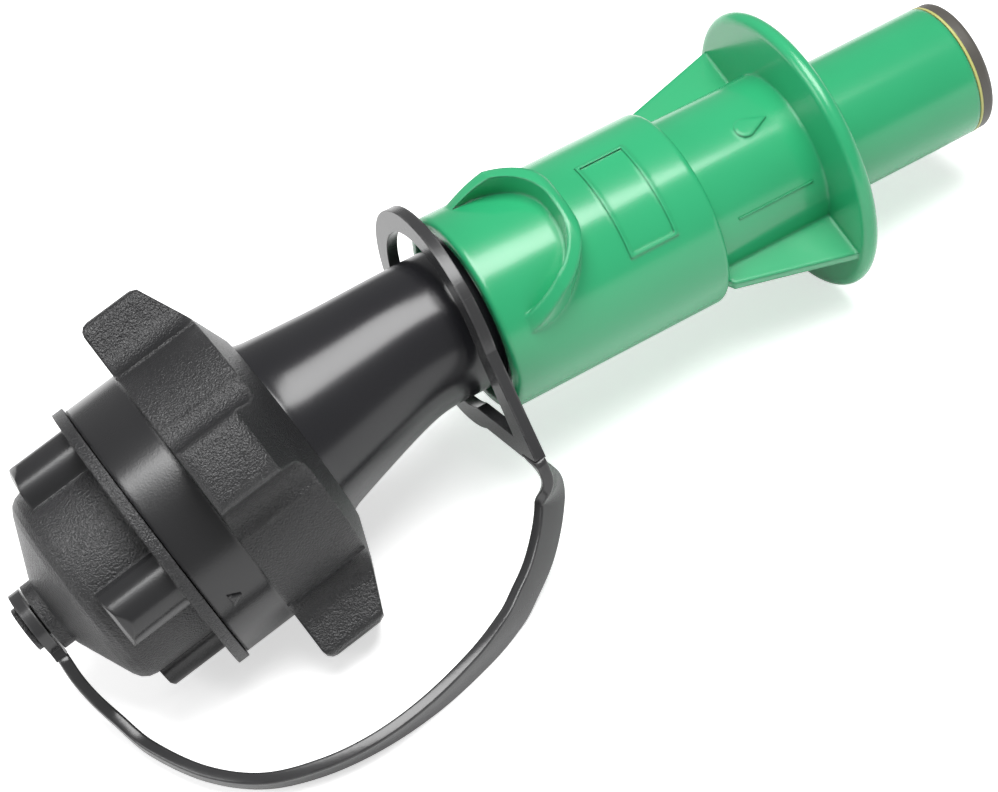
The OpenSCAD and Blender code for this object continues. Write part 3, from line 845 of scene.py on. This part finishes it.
@dataclass
class Mark:
    """Small raised mark on a round face.

    Attributes:
        name: The mark's name.
        body: The body it rides on.
        finish: What it is made of.
        slot: Not used.
        on_nut: Whether it stands on the nut's axis; else on the sleeve's.
        radius: Radius of the face.
        height: How far it stands out.
        outline: Corners as places along the axis and round it (mm).
        turn: Where its middle lies round the axis, in degrees from the top.
    """

    name: str
    body: str
    finish: Finish
    slot: str
    on_nut: bool
    radius: float
    height: float
    outline: tuple[tuple[float, float], ...]
    turn: float

    def build(self) -> None:
        """Make the mark as a low prism."""
        place = AXES.nut if self.on_nut else AXES.sleeve
        mesh, rows = bmesh.new(), []
        for r in (self.radius - 0.15 * MM, self.radius + self.height):
            row = []
            for along, across in self.outline:
                a = math.radians(self.turn) + across * MM / self.radius
                row.append(mesh.verts.new(place(along * MM, r * math.sin(a), r * math.cos(a))))
            rows.append(row)
        low, high = rows
        mesh.faces.new(high)
        mesh.faces.new(list(reversed(low)))
        for k in range(len(low)):
            j = (k + 1) % len(low)
            mesh.faces.new((low[k], low[j], high[j], high[k]))
        bmesh.ops.recalc_face_normals(mesh, faces=mesh.faces)
        mark = new_object(self.name, mesh)
        mark.data.materials.append(DRESSER.of(self.finish))
        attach(mark, self.body)


MARKS = (
    Mark("skirt_arrow", "nut", NUT_GRAIN, "black_grain", True, 25.6 * MM, 0.4 * MM,
         ((-49.0, -1.3), (-49.0, 1.3), (-46.8, 0.0)), -88.0),
    Mark("collar_parting_line", "sliding_sleeve", GREEN, "green_plastic", False, 15.5 * MM, 0.16 * MM,
         ((-21.0, -0.2), (-21.0, 0.2), (-5.5, 0.2), (-5.5, -0.2)), -76.0),
)


def new_object(name: str, mesh: bmesh.types.BMesh) -> bpy.types.Object:
    """Turn a bmesh into an object in the scene.

    Args:
        name: The piece's name.
        mesh: The bmesh, which is freed.

    Returns:
        The new object.
    """
    data = bpy.data.meshes.new(name)
    mesh.to_mesh(data)
    mesh.free()
    piece = bpy.data.objects.new(name, data)
    bpy.context.scene.collection.objects.link(piece)
    return piece


# ---------------------------------------------------------------- studio
@dataclass
class Studio:
    """Bench, lights and camera.

    Attributes:
        bench: Height of the bench's top.
        eye: Where the camera stands.
        target: What it looks at.
        roll: How far it is turned about its line of sight, in degrees.
        lens: Focal length for a 36 mm sensor.
        bench_glow: Brightness of the bench to the camera; reflections see less of it.
    """

    bench: float = -26.75 * MM
    eye: tuple[float, float, float] = (-0.1672, -0.3644, 0.3254)
    target: tuple[float, float, float] = (-0.06667, 0.00554, -0.01929)
    roll: float = -21.4
    lens: float = 102.6
    bench_glow: float = 0.62

    def camera(self) -> None:
        """Set the camera."""
        data = bpy.data.cameras.new("Camera")
        data.lens = self.lens
        data.sensor_width = 36.0
        data.clip_start = 0.01
        camera = bpy.data.objects.new("Camera", data)
        look = Vector(self.target) - Vector(self.eye)
        turn = look.to_track_quat("-Z", "Y").to_matrix() @ Matrix.Rotation(math.radians(self.roll), 3, "Z")
        camera.matrix_world = Matrix.Translation(self.eye) @ turn.to_4x4()
        bpy.context.scene.collection.objects.link(camera)
        bpy.context.scene.camera = camera

    def floor(self) -> None:
        """Lay the pale bench."""
        mesh = bmesh.new()
        bmesh.ops.create_circle(mesh, cap_ends=True, segments=96, radius=3.0)
        floor = new_object("bench", mesh)
        floor.location.z = self.bench
        material = bpy.data.materials.new("Pale bench")
        material.use_nodes = True
        shader = material.node_tree.nodes["Principled BSDF"]
        shader.inputs["Base Color"].default_value = (0.9, 0.9, 0.9, 1.0)
        shader.inputs["Roughness"].default_value = 0.8
        shader.inputs["Emission Color"].default_value = (1.0, 1.0, 1.0, 1.0)
        wire = Wiring(material.node_tree)
        ray = wire.add("ShaderNodeLightPath")
        seen = wire.math("ADD", ray.outputs["Is Camera Ray"], wire.math(
            "MULTIPLY", ray.outputs["Is Glossy Ray"], 0.4))
        wire.put(shader, Emission_Strength=wire.math("MULTIPLY", seen, self.bench_glow))
        floor.data.materials.append(material)

    def softbox(self, name: str, place: tuple[float, float, float], aim: tuple[float, float, float],
                size: tuple[float, float], power: float) -> None:
        """Hang a rectangular soft light.

        Args:
            name: The light's name.
            place: Where it hangs.
            aim: What it points at.
            size: Its width and height.
            power: Its power in watts.
        """
        data = bpy.data.lights.new(name, "AREA")
        data.shape = "RECTANGLE"
        data.size, data.size_y = size
        data.energy = power
        light = bpy.data.objects.new(name, data)
        look = Vector(aim) - Vector(place)
        light.matrix_world = Matrix.Translation(place) @ look.to_track_quat("-Z", "Y").to_matrix().to_4x4()
        bpy.context.scene.collection.objects.link(light)

    def light(self) -> None:
        """Light the bench as a plain studio."""
        world = bpy.data.worlds.new("Studio")
        world.use_nodes = True
        background = world.node_tree.nodes["Background"]
        background.inputs["Color"].default_value = (1.0, 1.0, 1.0, 1.0)
        wire = Wiring(world.node_tree)
        ray = wire.add("ShaderNodeLightPath")
        wire.put(background, Strength=wire.math("ADD", 0.2, wire.math(
            "MULTIPLY", ray.outputs["Is Glossy Ray"], 0.15)))
        bpy.context.scene.world = world
        self.softbox("key", (0.02, -0.15, 0.73), (-0.07, 0.0, 0.0), (0.5, 0.5), 8.5)
        self.softbox("side", (-0.75, 0.12, 0.4), (-0.12, 0.0, 0.0), (0.4, 0.4), 2.2)

    def build(self) -> None:
        """Set up everything that isn't the spout."""
        self.camera()
        self.floor()
        self.light()
        bpy.context.scene.view_settings.view_transform = "Standard"
        LOG.info("studio ready")


def main() -> None:
    """Build the spout's looks in order."""
    logging.basicConfig(level=logging.INFO, format="%(name)s: %(message)s")
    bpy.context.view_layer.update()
    Studio().build()
    LIBRARY.build()
    DRESSER.dress()
    Neck().build()
    Tether().build()
    ReturnSpring().build()
    for mark in MARKS:
        mark.build()


if __name__ == "__main__":
    main()
